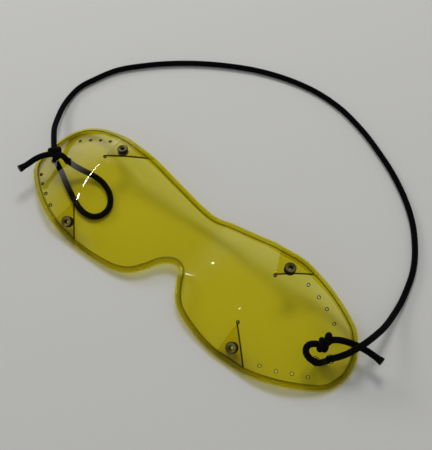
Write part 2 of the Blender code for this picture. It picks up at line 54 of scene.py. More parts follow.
# The part's sizes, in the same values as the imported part
HALF_LENGTH = 95.0 * MM
HALF_HEIGHT = 29.9 * MM
CROWN = 16.0 * MM
FOLD_DROP = 9.5 * MM
FOLD_ROUND = 5.0 * MM
LEAN = 0.1 * MM
SHEET = 0.6 * MM
GAP = 0.25 * MM
RELIEF_RADIUS = 1.25 * MM
VENT_RADIUS = 0.95 * MM
LAP_FADE = 9.0 * MM
BINDING_WIDTH = 3.0 * MM
BINDING_WALL = 0.5 * MM
FLAT_DEPTH = 0.5 * MM
EYELET_BORE = 1.35 * MM
EYELET_WALL = 0.3 * MM
FLANGE_RADIUS = 2.7 * MM
FLANGE_HEIGHT = 0.5 * MM
ROLL_RADIUS = 2.25 * MM
ROLL_HEIGHT = 0.4 * MM
WASHER_HEIGHT = 0.4 * MM
WASHER_RADIUS = 2.7 * MM
CURVE_ROOM = 0.12 * MM
CORD_RADIUS = 1.5 * MM
CORD_CLEARANCE = 0.6 * MM
OVERRUN = 6.0 * MM
WELD = 0.002 * MM

# How finely the pieces are drawn
EDGE_STEPS = 420
OUTLINE_STEPS = 132
SHEET_STEP = 1.5 * MM
HOLE_STEPS = 32
TURN_STEPS = 64
BRAID_STEP = 0.21 * MM
BRAID_SIDES = 16
BRAID_YARNS = 8
OUTLINE_CURVE_STEPS = 24
CORD_CURVE_STEPS = 12
STEPS_ALONG_CUT = 4
STEPS_BESIDE_CUT = 2
SHARPEST_SMOOTH = math.radians(40)

# How wide the painted shade lies beside the vinyl's holes and cuts, and how strong it is on each layer and on
# the lip
HOLE_SHADE_WIDTH = 0.4 * MM
RELIEF_SHADE_WIDTH = 0.75 * MM
CUT_SHADE_WIDTH = 0.75 * MM
UPPER_CUT = 1.0
LOWER_CUT = 0.15
LIP_SHADES = (0.5, 0.5, 0.3)
FULL_SHADE = 0.99

# How small the holes are drawn, so that they read as seen; each end's vents by radius and by painted shade
# width
RELIEF_DRAWN = 0.2
CLEARANCE_DRAWN = 0.35
LEFT_VENT = (0.6, 1.3)
RIGHT_VENT = (0.68, 0.7)

# The eyelet's throat and unshaded flange in shares of their radii, and how far the painted shade fades beside
# them
THROAT = 0.66
THROAT_FADE = 0.3
UNSHADED_FLANGE = 0.84
FLANGE_FADE = 0.1

# A yarn: how round it is across, how low it lies where it dives and how far it rises, and its fibres
YARN_ROUND = 0.6
YARN_LOW = 0.45
YARN_RISE = 0.55
YARN_FIBRES = 6
FIBRE_LENGTH = 0.9 * MM

# The cord's ends, in shares of its radius: how far back a cut end flares, then each kind's rings and push
FLARE_REACH = 2.2
CUT_END = ((0.8, 0.45), 0.12)
TUCKED_END = ((0.9, 0.65, 0.35), 0.55)

# Places on the plan, in shares of the half length and the half height: first the outline
OUTLINE_SHARES = [
    (0.015, 0.76), (0.115, 0.81), (0.22, 0.83), (0.335, 0.865), (0.44, 0.87), (0.535, 0.90), (0.63, 0.875),
    (0.73, 0.825), (0.83, 0.72), (0.905, 0.60), (0.96, 0.40), (0.995, 0.16), (1.0, -0.13), (0.96, -0.43),
    (0.87, -0.66), (0.77, -0.835), (0.655, -0.955), (0.53, -1.0), (0.41, -1.005), (0.30, -0.95),
    (0.205, -0.855), (0.14, -0.72), (0.087, -0.50), (0.058, -0.335), (0.013, -0.285), (-0.038, -0.395),
    (-0.077, -0.61), (-0.13, -0.82), (-0.205, -0.935), (-0.31, -0.985), (-0.43, -1.0), (-0.54, -0.985),
    (-0.645, -0.93), (-0.755, -0.81), (-0.875, -0.59), (-0.965, -0.37), (-0.998, -0.15), (-1.005, 0.16),
    (-0.995, 0.43), (-0.975, 0.67), (-0.92, 0.87), (-0.815, 0.98), (-0.665, 0.945), (-0.535, 0.895),
    (-0.42, 0.875), (-0.31, 0.84), (-0.20, 0.805), (-0.093, 0.775),
]
# How far out along the sheet, with its cheek edge, brow edge and bulge there in shares of the crown
STATION_SHARES = [
    (0.0, 0.175, 0.54, 0.02),
    (0.253, 0.14, 0.78, 0.20),
    (0.495, 0.12, 0.99, 0.35),
    (0.747, 0.375, 0.725, 0.44),
    (1.0, 0.32, 0.49, 0.275),
]
FURTHEST_SPAN = 1.5
# Each dart's relief hole, its inboard and outboard ends at the rim, and its eyelet
DART_SHARES = {
    "left_upper": ((-0.640, 0.40), (-0.452, 0.803), (-0.670, 0.847), (-0.594, 0.683)),
    "left_lower": ((-0.592, -0.483), (-0.480, -0.887), (-0.619, -0.817), (-0.561, -0.782)),
    "right_upper": ((0.466, 0.413), (0.408, 0.803), (0.574, 0.737), (0.500, 0.643)),
    "right_lower": ((0.462, -0.457), (0.459, -0.793), (0.592, -0.840), (0.508, -0.780)),
}
# The vents, the holes for the cord, and whether each end flap lies over the middle (1) or under it (-1)
VENT_SHARES = [
    (-0.707, 0.740), (-0.768, 0.693), (-0.823, 0.613), (-0.875, 0.517),
    (-0.694, -0.746), (-0.764, -0.632), (-0.826, -0.518), (-0.886, -0.385),
    (0.612, 0.637), (0.684, 0.590), (0.745, 0.530), (0.811, 0.430),
    (0.661, -0.750), (0.736, -0.670), (0.798, -0.557), (0.862, -0.440),
]
HOLE_SHARES = [(-0.889, -0.047), (-0.804, 0.023), (0.891, -0.027), (0.846, -0.200)]
FLAP_LIFT = {"left": 1, "right": -1}

# The cord, in millimetres: its pivots, where it passes the left one, its right knot, and its routes
LEFT_PIVOT = (-84.6, -0.6, 10.3)
RIGHT_PIVOT = (85.4, -1.0, 7.3)
LEFT_PASSING = (0.4, -0.4, 0.4)
RIGHT_KNOT = (79.6, 0.3, 11.3)
HEAD_ROUTE = [
    (-87.1, 1.7, 10.0), (-90.2, 4.3, 9.4), (-95.0, 8.6, 8.2), (-99.6, 13.2, 6.6), (-104.7, 20.2, 4.4),
    (-109.2, 27.8, 2.6), (-111.9, 35.4, 1.7), (-112.9, 43.3, 1.5), (-111.4, 51.2, 1.5), (-105.9, 66.3, 1.5),
    (-95.5, 79.8, 1.5), (-84.2, 91.0, 1.5), (-73.2, 99.8, 1.5), (-62.1, 107.1, 1.5), (-50.0, 113.7, 1.5),
    (-38.8, 118.3, 1.5), (-26.8, 121.7, 1.5), (-15.1, 123.5, 1.5), (-4.5, 123.7, 1.5), (7.1, 122.3, 1.5),
    (17.0, 119.6, 1.5), (27.9, 115.6, 1.5), (38.8, 110.4, 1.5), (49.4, 104.7, 1.5), (59.0, 98.4, 1.5),
    (67.8, 91.4, 1.5), (75.5, 83.7, 1.5), (81.4, 75.9, 1.5), (86.3, 67.9, 1.5), (89.7, 60.2, 1.5),
    (91.9, 52.4, 1.5), (93.7, 43.5, 2.0), (94.6, 34.4, 3.9), (94.9, 26.2, 6.6), (94.3, 19.2, 9.4),
    (93.3, 12.9, 11.5), (92.1, 8.6, 12.2), (90.8, 5.3, 11.9), (89.3, 2.8, 10.7), (87.4, 0.7, 9.0),
    (85.4, -1.0, 7.3),
]
RIGHT_LOOP_ROUTE = [
    (84.76, -0.83, 5.6), (84.3, -0.8, 4.3), (83.6, -1.5, 2.7), (82.3, -3.0, 1.9), (80.9, -4.7, 2.5),
    (80.3, -5.8, 4.2), (80.4, -6.1, 6.2), (80.6, -6.9, 8.2), (79.9, -7.9, 9.7), (78.1, -8.1, 10.5),
    (76.0, -7.3, 10.7), (74.7, -5.5, 10.9), (74.8, -3.5, 11.1), (76.4, -1.7, 11.3),
]
RIGHT_TAIL_ROUTE = [
    (81.1, 3.9, 11.7), (83.2, 6.3, 10.9), (86.4, 8.5, 9.7), (90.3, 10.2, 8.6), (94.4, 11.1, 8.1),
    (98.6, 11.3, 8.0), (103.0, 11.0, 8.3),
]
LEFT_LOOP_ROUTE = [
    (-84.7, -1.45, 6.5), (-84.3, -1.4, 5.6), (-83.4, -1.4, 4.0), (-81.8, -1.9, 2.5), (-79.2, -2.9, 1.6),
    (-74.9, -5.1, 1.5), (-70.9, -7.0, 1.5), (-66.0, -9.2, 1.5), (-60.6, -11.4, 1.5), (-56.1, -12.8, 1.5),
    (-51.6, -13.1, 1.5), (-47.7, -11.8, 1.5), (-45.4, -8.6, 1.5), (-45.2, -4.5, 1.5), (-47.3, -0.4, 1.5),
    (-50.9, 2.8, 1.5), (-55.1, 4.8, 1.6), (-59.2, 5.7, 1.9), (-63.0, 5.6, 2.4), (-66.8, 4.7, 3.3),
    (-70.4, 3.3, 4.8), (-73.6, 1.9, 7.0), (-76.3, 0.8, 9.6), (-77.8, 0.3, 11.6), (-79.3, 0.0, 12.5),
    (-81.5, -0.25, 11.8),
]
LEFT_TAIL_ROUTE = [
    (-86.2, -3.5, 11.0), (-87.2, -5.9, 11.7), (-88.2, -10.0, 12.2), (-88.7, -14.2, 12.2),
    (-89.3, -19.1, 12.7),
]

# The knots' turns about their middles: millimetres to the photo's right, up and nearer
LEFT_TURNS = [
    (0, -2.2, -0.5), (1.9, -1.7, 0.3), (1.7, -1.2, 1.6), (-0.4, -0.8, 2.1), (-1.9, -0.4, 0.6),
    (-1.5, 0.0, -1.2), (0.6, 0.3, -1.9), (2.3, 0.6, -0.6), (2.2, 1.2, 1.3), (0.3, 1.6, 1.9), (-1.8, 1.6, 0.8),
    (-1.3, 1.8, -0.8), (0.5, 2.1, -0.6), (2.3, 2.3, 0.3), (2.2, 0.8, 1.6), (0.7, -0.2, 0.8),
]
RIGHT_TURNS = [
    (-1.8, 0.0, -1.0), (-1.7, -1.9, 0.0), (-1.4, -1.2, 1.7), (-1.1, 0.8, 2.0), (-0.8, 2.1, 0.3),
    (-0.5, 1.2, -1.7), (-0.2, -1.0, -1.9), (0.2, -2.1, 0.0), (0.6, -1.0, 1.8), (0.9, 1.0, 1.9),
    (1.3, 2.3, 0.9), (1.8, 3.7, 0.3), (2.4, 4.1, -0.5), (2.7, 3.0, -1.2), (2.0, 1.6, -1.6), (1.6, 0.3, -0.8),
]
KNOT_TIGHTNESS = 0.9
CUT_FLARE = 0.25

# The camera stands where the photograph's did
CAMERA_TURN = math.radians(39.4)
CAMERA_TILT = math.radians(58.0)
CAMERA_EYE = (0.1235, -0.125744, 0.308607)
CAMERA_LENS = 61.97
CAMERA_NEAR = 0.01

# The floor's half width, and the room: its colour, its light on matt surfaces, as seen, and as mirrored
FLOOR_HALF = 20.0
ROOM_COLOUR = (0.97, 0.98, 1.0, 1)
ROOM_LIGHT = 0.345
ROOM_SEEN = 0.5
ROOM_LOW = 1.1
ROOM_HIGH = 0.02

# Each lamp's place, aim, run of its first side, two sides in metres, watts, and a glint's spread in degrees
LAMPS = {
    "window": ((-0.55, 0.75, 1.15), (0, 0, 0), (1, 0, 0), (0.45, 0.45), 6.46, 0),
    "second_window": ((-1.1, 0.15, 0.55), (0, 0, 0), (0, 1, 0), (0.35, 0.35), 3.4, 0),
    "fold_glint": (
        (-0.1109, 0.0051, 0.0845), (-0.0595, 0.0015, 0.0145), (0.39, -0.86, 0.31), (0.0024, 0.06),
        0.0153, 180),
    "low_fold_glint": (
        (-0.088, -0.038, 0.091), (-0.056, -0.012, 0.011), (0.5, -0.85, 0.1), (0.0026, 0.013), 0.0058, 180),
    "nose_glint": (
        (-0.026, 0.012, 0.05), (0.0166, 0.0023, 0.009), (0, 1, 0), (0.0012, 0.0012), 0.0000022, 15),
    "low_nose_glint": (
        (-0.027, -0.002, 0.053), (0.009, -0.009, 0.005), (0, 1, 0), (0.001, 0.001), 0.0000006, 10),
    "right_glint": (
        (0.0173, -0.0228, 0.063), (0.0406, -0.0061, 0.0105), (0.3, 1, 0), (0.001, 0.003), 0.0000015, 15),
}

LAP_LIFT = (SHEET + GAP) / 2
EYELET_RADIUS = EYELET_BORE + EYELET_WALL
STACK_HALF = LAP_LIFT + SHEET / 2 + GAP
LAP_MARGIN = math.radians(4)
LAP_TURN = math.radians(100)


def hex_colour(name, description, default):
    """A colour's setting, as an sRGB hex value."""
    return bpy.props.StringProperty(name=name, description=description, default=default)


class GogglesColours(bpy.types.PropertyGroup):
    """The colours that a user would change."""

    sheet_tint: hex_colour("Sheet tint", "What the clear sheet lets through", "#FAF6A4")
    sheet_body: hex_colour("Sheet body", "The haze in the sheet", "#4A4204")
    binding_tint: hex_colour("Binding tint", "What the binding lets through", "#FDFB8E")
    binding_body: hex_colour("Binding body", "The binding's own colour", "#6E6402")
    haze: hex_colour("Haze", "The cloud in the vinyl", "#B8AA1C")
    # the vinyl's cut edges, a colour also used for the painted shade beside cuts, holes and the binding's lip
    cut_edge_and_shade: hex_colour("Cut edge", "The sheet's punched and cut edges", "#1C1802")
    plating: hex_colour("Plating", "The eyelets' dark plating", "#6A6026")
    # painted shade: the plating darkened in the eyelet's bore and round its flange's rim
    bore_and_rim_shade: hex_colour("Bore and rim shade", "The plating in the bore and round the rim", "#14120C")
    worn_metal: hex_colour("Worn metal", "Where the plating is rubbed", "#84744C")
    yarn: hex_colour("Yarn", "The braid's yarn", "#020203")
    # painted highlight: the colour on each yarn's crown, lighter than the grooves between
    yarn_crown_highlight: hex_colour("Yarn light", "The braid's lighter yarn", "#101013")
    rubber: hex_colour("Rubber", "The cord's core where it is cut", "#2B2926")
    floor: hex_colour("Floor", "The pale floor", "#DAD9D5")


def fine_size(name, description, default):
    """A length's setting."""
    return bpy.props.FloatProperty(name=name, description=description, default=default, unit="LENGTH")


class GogglesSizes(bpy.types.PropertyGroup):
    """The fine sizes that only the visible pieces have."""

    braid_relief: fine_size("Braid relief", "How far the braid's yarns stand out", 0.15 * MM)
    braid_pitch: fine_size("Braid pitch", "How far a yarn climbs in one turn", 12.0 * MM)
    lip_round: fine_size("Binding lip", "The rounding of the binding's lip", 0.12 * MM)


def ease(share):
    """0 to 1 with a smooth start and end."""
    share = min(max(share, 0.0), 1.0)
    return share * share * (3 - 2 * share)


def metres(point):
    """A point written in millimetres, in metres."""
    return tuple(part * MM for part in point)


def place(share):
    """A point on the plan, from its shares."""
    return Vector((share[0] * HALF_LENGTH, share[1] * HALF_HEIGHT))


def along(points, steps, closed):
    """A smooth curve through the points, as many short steps between each two."""
    count = len(points)
    spans = count if closed else count - 1
    line = []
    for i in range(spans):
        before, a = points[i - 1 if closed or i else 0], points[i]
        b = points[(i + 1) % count]
        after = points[(i + 2) % count] if closed or i + 2 < count else b
        piece = interpolate_bezier(a, a + (b - before) / 6, b - (after - a) / 6, b, steps + 1)
        line += piece[:-1]
    return line if closed else line + [points[-1]]


def evenly(line, count, closed):
    """The line again, as count points the same distance apart."""
    line = line + [line[0]] if closed else line
    lengths = [0.0]
    for a, b in zip(line, line[1:]):
        lengths.append(lengths[-1] + (b - a).length)
    stops = count if closed else count - 1
    found, k = [], 0
    for i in range(count):
        want = lengths[-1] * i / stops
        while k < len(lengths) - 2 and lengths[k + 1] < want:
            k += 1
        share = (want - lengths[k]) / (lengths[k + 1] - lengths[k])
        found.append(line[k].lerp(line[k + 1], min(share, 1.0)))
    return found


def fitted(points):
    """The outline stretched to the named length and height, its middle on the origin."""
    low = Vector((min(p.x for p in points), min(p.y for p in points)))
    high = Vector((max(p.x for p in points), max(p.y for p in points)))
    middle, half = (low + high) / 2, (high - low) / 2
    return [
        Vector(((p.x - middle.x) / half.x * HALF_LENGTH, (p.y - middle.y) / half.y * HALF_HEIGHT))
        for p in points
    ]


SMOOTH_OUTLINE = fitted(along([place(s).to_3d() for s in OUTLINE_SHARES], OUTLINE_CURVE_STEPS, True))
OUTLINE = evenly(SMOOTH_OUTLINE, OUTLINE_STEPS, True)
FINE_OUTLINE = evenly(SMOOTH_OUTLINE, EDGE_STEPS, True)


def station(far, column):
    """One column of the stations, read smoothly at a share of the half length, and a little past the end."""
    rows = [(-STATION_SHARES[1][0], STATION_SHARES[1][column])] + [(s[0], s[column]) for s in STATION_SHARES]
    rows.append((2 * rows[-1][0] - rows[-2][0], 2 * rows[-1][1] - rows[-2][1]))
    k = 1
    while k < len(rows) - 3 and rows[k + 1][0] < far:
        k += 1
    before, a, b, after = rows[k - 1:k + 3]
    span = b[0] - a[0]
    u = min((far - a[0]) / span, FURTHEST_SPAN)
    rise_a = (b[1] - before[1]) / (b[0] - before[0]) * span
    rise_b = (after[1] - a[1]) / (after[0] - a[0]) * span
    return (
        (2 * u**3 - 3 * u**2 + 1) * a[1] + (u**3 - 2 * u**2 + u) * rise_a
        + (3 * u**2 - 2 * u**3) * b[1] + (u**3 - u**2) * rise_b
    )


def fold_line(side):
    """How far out the fold lies between one end's two relief holes."""
    tips = [DART_SHARES[f"{side}_{row}"][0][0] for row in ("upper", "lower")]
    return abs(sum(tips)) / 2 * HALF_LENGTH


FOLD_AT = {side: fold_line(side) for side in ("left", "right")}


def folded(x):
    """The share of the end flap's drop at this place along the sheet, rounded at the fold."""
    at = FOLD_AT["left" if x < 0 else "right"]
    reach = abs(x) - at
    whole = HALF_LENGTH - at
    return (reach + math.hypot(reach, FOLD_ROUND)) / (whole + math.hypot(whole, FOLD_ROUND))


def formed(x, y):
    """The height of the formed sheet's middle over the plan, before it is set down."""
    far = abs(x) / HALF_LENGTH
    across = (y / HALF_HEIGHT + 1) / 2
    cheek, brow, bulge = (station(far, column) * CROWN for column in (1, 2, 3))
    level = cheek * (1 - across) + brow * across + bulge * 4 * across * (1 - across)
    return level - FOLD_DROP * folded(x) + LEAN * x / HALF_LENGTH


def slopes(x, y):
    """How steeply the sheet climbs along X and along Y."""
    return (
        (formed(x + GAP, y) - formed(x - GAP, y)) / (2 * GAP),
        (formed(x, y + GAP) - formed(x, y - GAP)) / (2 * GAP),
    )


def facing(x, y):
    """The sheet's outward normal over a place on the plan."""
    climb_x, climb_y = slopes(x, y)
    return Vector((-climb_x, -climb_y, 1)).normalized()


def set_down():
    """How far the formed sheet comes down until the binding's lowest edge is cut flat by the table."""
    reach = SHEET / 2 + GAP + BINDING_WALL
    return min(formed(p.x, p.y) - reach * facing(p.x, p.y).z for p in OUTLINE) + FLAT_DEPTH


SET_DOWN = set_down()


def on_sheet(x, y, lift=0.0):
    """The point over a place on the plan that is lift out from the sheet's middle."""
    return Vector((x, y, formed(x, y) - SET_DOWN)) + facing(x, y) * lift


def dart(name):
    """A dart's relief hole, its edges' ends past the outline, its middle's direction and half its angle."""
    tip, inboard, outboard, _ = (place(s) for s in DART_SHARES[name])
    ends = []
    for end in (inboard, outboard):
        way = (end - tip).normalized()
        ends.append(tip + way * (HALF_HEIGHT + OVERRUN - abs(tip.y)) / abs(way.y))
    ways = [(end - tip).normalized() for end in ends]
    return tip, ends[0], ends[1], (ways[0] + ways[1]).normalized(), ways[0].angle(ways[1]) / 2


DARTS = {name: dart(name) for name in DART_SHARES}


def lapped(x, y):
    """How fully the two layers are spread apart here: 1 in a dart, fading out beside it."""
    most = 0.0
    for tip, _, _, middle, half in DARTS.values():
        way = Vector((x, y)) - tip
        if way.length < WELD:
            continue
        past = max(way.angle(middle) - half - LAP_MARGIN, 0.0)
        aside = way.length * math.sin(min(past, math.pi / 2))
        most = max(most, (1 - ease(past / LAP_TURN)) * (1 - ease(aside / LAP_FADE)))
    return most


def clear_of_edge(share, radius):
    """A place on the plan, moved in where a round piece of that radius would meet the binding."""
    spot = place(share)
    nearest = min(OUTLINE, key=lambda p: (on_sheet(p.x, p.y) - on_sheet(spot.x, spot.y)).length)
    room = (on_sheet(nearest.x, nearest.y) - on_sheet(spot.x, spot.y)).length
    short = BINDING_WIDTH + radius + GAP - room
    return spot + (spot - nearest).normalized() * max(short, 0)


def inset(loop, distance):
    """A loop on the plan, moved in along the sheet by a distance."""
    moved = []
    for i, p in enumerate(loop):
        run = (loop[(i + 1) % len(loop)] - loop[i - 1]).normalized()
        inward = Vector((run.y, -run.x))
        climb_x, climb_y = slopes(p.x, p.y)
        climb = climb_x * inward.x + climb_y * inward.y
        moved.append(p + inward * distance / math.hypot(1, climb))
    return moved


def ring(centre, radius, steps):
    """A round hole's edge on the sheet, as a loop on the plan."""
    climb_x, climb_y = slopes(centre.x, centre.y)
    side = Vector((1, 0, climb_x)).normalized()
    up = facing(centre.x, centre.y).cross(side)
    turns = (2 * math.pi * i / steps for i in range(steps))
    return [centre + ((side * math.cos(t) + up * math.sin(t)) * radius).to_2d() for t in turns]


def inside(p, loop):
    """Whether a point on the plan lies within a loop."""
    found = False
    for a, b in zip(loop, loop[1:] + loop[:1]):
        if (a.y > p.y) != (b.y > p.y) and p.x < a.x + (p.y - a.y) / (b.y - a.y) * (b.x - a.x):
            found = not found
    return found


def stepped(a, b):
    """A straight line from one point on the plan to another, in short steps, without its last point."""
    steps = max(1, round((b - a).length / SHEET_STEP))
    return [a.lerp(b, i / steps) for i in range(steps)]


def seam(side):
    """The line between an end's relief holes, upper to lower, where its flap goes on into the middle."""
    return stepped(DARTS[f"{side}_upper"][0], DARTS[f"{side}_lower"][0])


def flap_bounds(side):
    """The loop round an end flap: its two inboard cut edges, the seam between them, and past the end."""
    sign = -1 if side == "left" else 1
    up_tip, up_end = DARTS[f"{side}_upper"][:2]
    low_tip, low_end = DARTS[f"{side}_lower"][:2]
    past = sign * (HALF_LENGTH + OVERRUN)
    round_end = [low_end, Vector((past, low_end.y)), Vector((past, up_end.y))]
    return stepped(up_end, up_tip) + seam(side) + stepped(low_tip, low_end) + round_end


def middle_bounds():
    """The loop round the middle: its four outboard cut edges and the seams between them."""
    left_up, left_low = DARTS["left_upper"], DARTS["left_lower"]
    right_up, right_low = DARTS["right_upper"], DARTS["right_lower"]
    return (
        stepped(left_up[2], right_up[2]) + stepped(right_up[2], right_up[0]) + seam("right")
        + stepped(right_low[0], right_low[2]) + stepped(right_low[2], left_low[2])
        + stepped(left_low[2], left_low[0]) + [left_low[0]] + seam("left")[:0:-1]
        + stepped(left_up[0], left_up[2])
    )


def to_lip(tip, end, lip):
    """A cut from its relief hole as far as the binding's lip."""
    steps = round((end - tip).length / SHEET_STEP * STEPS_ALONG_CUT)
    stops = (tip.lerp(end, i / steps) for i in range(steps + 1))
    return tip, next(stop for stop in stops if not inside(stop, lip))


def beside(cuts, holes):
    """Points just off the cut edges and round the holes, where the painted shade beside them ends."""
    found = []
    for a, b in cuts:
        way = (b - a).normalized()
        aside = Vector((way.y, -way.x)) * CUT_SHADE_WIDTH
        steps = round((b - a).length / SHEET_STEP * STEPS_BESIDE_CUT)
        for i in range(1, steps):
            found += [a.lerp(b, i / steps) + aside, a.lerp(b, i / steps) - aside]
    for centre, radius, _, width in holes:
        found += ring(centre, radius + width, HOLE_STEPS)
    return found


def painted_shade_at(p, cuts, holes, strength):
    """How much painted shade lies on the sheet here from its cuts and holes: most on a cut edge, 0 past the
    shade's width.
    """
    hole = min(
        (math.hypot((p - centre).length, (p - centre).dot(climb)) - radius) / width
        for centre, radius, climb, width in holes
    )
    slit = CUT_SHADE_WIDTH
    for a, b in cuts:
        share = min(max((p - a).dot(b - a) / (b - a).length_squared, 0), 1)
        slit = min(slit, (p - a.lerp(b, share)).length)
    return max(1 - max(hole, 0), (1 - slit / CUT_SHADE_WIDTH) * strength, 0)


def add_layer(bm, bounds, lift, edge, holes, cuts):
    """Adds the part of the sheet within bounds, punched with the holes and lifted beside the darts."""
    loops = [ring(centre, radius, HOLE_STEPS) for centre, radius, _, _ in holes]
    points, edges = [], []
    for loop in (edge, bounds, *loops):
        start = len(points)
        points += loop
        edges += [(start + i, start + (i + 1) % len(loop)) for i in range(len(loop))]
    points += [p for p in beside(cuts, holes) if inside(p, edge)]
    near = kdtree.KDTree(len(points))
    for i, p in enumerate(points):
        near.insert(p.to_3d(), i)
    near.balance()
    columns, rows = (round(half / SHEET_STEP) for half in (HALF_LENGTH, HALF_HEIGHT))
    for i in range(-columns, columns + 1):
        for j in range(-rows, rows + 1):
            p = Vector(((i + j % 2 / 2) * SHEET_STEP, j * SHEET_STEP))
            if near.find(p.to_3d())[2] > SHEET_STEP / 2 and inside(p, edge):
                points.append(p)
    found, _, faces, _, _, _ = delaunay_2d_cdt(points, edges, [], 0, WELD)
    painted_shade = bm.verts.layers.float["painted_shade"]
    vertices = {}
    for face in faces:
        centre = sum((found[i] for i in face), Vector((0, 0))) / len(face)
        punched = any(inside(centre, loop) for loop in loops)
        if punched or not inside(centre, edge) or not inside(centre, bounds):
            continue
        for i in face:
            if i not in vertices:
                x, y = found[i]
                vertices[i] = bm.verts.new(on_sheet(x, y, lift(x) * LAP_LIFT * lapped(x, y)))
                # painted shade beside the cuts and holes, strongest on the upper layer over a dart's slit
                strength = UPPER_CUT if lift(x) > 0 else LOWER_CUT
                vertices[i][painted_shade] = painted_shade_at(found[i], cuts, holes, strength)
        made = bm.faces.new([vertices[i] for i in face])
        made.material_index = int(any(vertices[i][painted_shade] > FULL_SHADE for i in face))


def linear(hexed):
    """An sRGB hex colour as linear red, green, blue and alpha."""
    parts = (int(hexed[i:i + 2], 16) / 255 for i in (1, 3, 5))
    return [c / 12.92 if c <= 0.04045 else ((c + 0.055) / 1.055)**2.4 for c in parts] + [1.0]


def add_node(tree, kind, sockets=None, **settings):
    """Adds a shader node with its settings; a socket takes a value, a link or a node's first output."""
    made = tree.nodes.new(f"ShaderNode{kind}")
    for name, value in settings.items():
        setattr(made, name, value)
    for name, value in (sockets or {}).items():
        value = value.outputs[0] if isinstance(value, bpy.types.Node) else value
        if isinstance(value, bpy.types.NodeSocket):
            tree.links.new(value, made.inputs[name])
        else:
            made.inputs[name].default_value = value
    return made


def chosen(name):
    """One of the colour settings, as linear red, green, blue and alpha."""
    return linear(getattr(bpy.context.scene.goggles_colours, name))


def new_material(name):
    """An empty node material, and its tree."""
    made = bpy.data.materials.new(name)
    made.use_nodes = True
    made.node_tree.nodes.clear()
    return made, made.node_tree


def finished(made, shader):
    """The material, with its last shader linked to its output."""
    add_node(made.node_tree, "OutputMaterial", {"Surface": shader})
    return made


def see_through(name, tint, body, gloss, ripple_mm, ripple_depth, haze):
    """Clear coloured plastic: light passes tinted, under a gloss, and beside its cut edges and holes it is
    painted dark with shade.
    """
    made, tree = new_material(name)
    where = add_node(tree, "TexCoord").outputs["Object"]
    ripple = add_node(tree, "TexNoise", {"Vector": where, "Scale": 1 / (ripple_mm * MM)})
    bump = add_node(tree, "Bump", {"Height": ripple, "Distance": ripple_depth * MM})
    rub = add_node(tree, "TexNoise", {"Vector": where, "Scale": 1 / (6 * MM), "Detail": 5.0})
    rough = add_node(tree, "MapRange", {
        "Value": rub, "From Min": 0.35, "From Max": 0.7, "To Min": 0.04, "To Max": 0.08})
    # painted shade: beside cuts, holes and the binding's lip the vinyl turns dark and nearly opaque
    cut = add_node(tree, "Attribute", attribute_name="painted_shade").outputs["Fac"]
    painted_shade = add_node(tree, "MapRange", {"Value": cut, "From Max": 0.6})
    shine = add_node(tree, "MapRange", {"Value": painted_shade, "From Max": 0.45, "To Min": 12.0, "To Max": 1.1})
    colour = add_node(tree, "Mix", {0: painted_shade, 6: chosen(body), 7: chosen("cut_edge_and_shade")}, data_type="RGBA")
    clear = add_node(tree, "BsdfTransparent", {"Color": chosen(tint)})
    solid = add_node(tree, "BsdfPrincipled", {
        "Base Color": colour.outputs[2], "Roughness": rough, "IOR": shine, "Normal": bump})
    rim = add_node(tree, "Fresnel", {"IOR": 1.5})
    side = add_node(tree, "NewGeometry")
    front = add_node(tree, "MapRange", {
        "Value": side.outputs["Backfacing"], "To Min": gloss, "To Max": 0.0})
    share = add_node(tree, "Math", {0: rim, 1: front}, operation="MULTIPLY")
    dark = add_node(tree, "Math", {0: painted_shade, 1: 0.92}, operation="MULTIPLY")
    most = add_node(tree, "Math", {0: share, 1: dark}, operation="MAXIMUM")
    mix = add_node(tree, "MixShader", {"Fac": most, 1: clear, 2: solid})
    cloud = add_node(tree, "BsdfDiffuse", {"Color": chosen("haze")})
    hazed = add_node(tree, "MixShader", {"Fac": haze, 1: mix, 2: cloud})
    return finished(made, hazed)


def clear_vinyl():
    """Plasticised vinyl sheet, calendered and press polished: glossy, see-through and faintly rippled."""
    return see_through(
        "clear_tinted_vinyl_sheet", "sheet_tint", "sheet_body",
        gloss=1.3, ripple_mm=14, ripple_depth=0.05, haze=0.0)


def binding_vinyl():
    """The same vinyl as a thinner strip, folded hot: deeper in colour, hazed, with short ripples."""
    return see_through(
        "folded_tinted_vinyl_strip", "binding_tint", "binding_body",
        gloss=0.8, ripple_mm=5, ripple_depth=0.1, haze=0.12)


def cut_vinyl():
    """The sheet's sheared edges: matt, and dark because they carry light from the sheet's whole depth."""
    made, tree = new_material("sheared_vinyl_edge")
    where = add_node(tree, "TexCoord").outputs["Object"]
    nick = add_node(tree, "TexNoise", {"Vector": where, "Scale": 1 / (0.8 * MM), "Detail": 4.0})
    bump = add_node(tree, "Bump", {"Height": nick, "Strength": 0.6, "Distance": 0.05 * MM})
    clear = add_node(tree, "BsdfTransparent", {"Color": chosen("binding_tint")})
    solid = add_node(tree, "BsdfPrincipled", {
        "Base Color": chosen("cut_edge_and_shade"), "Roughness": 0.6, "Specular IOR Level": 0.1, "Normal": bump})
    mix = add_node(tree, "MixShader", {"Fac": 0.9, 1: clear, 2: solid})
    return finished(made, mix)


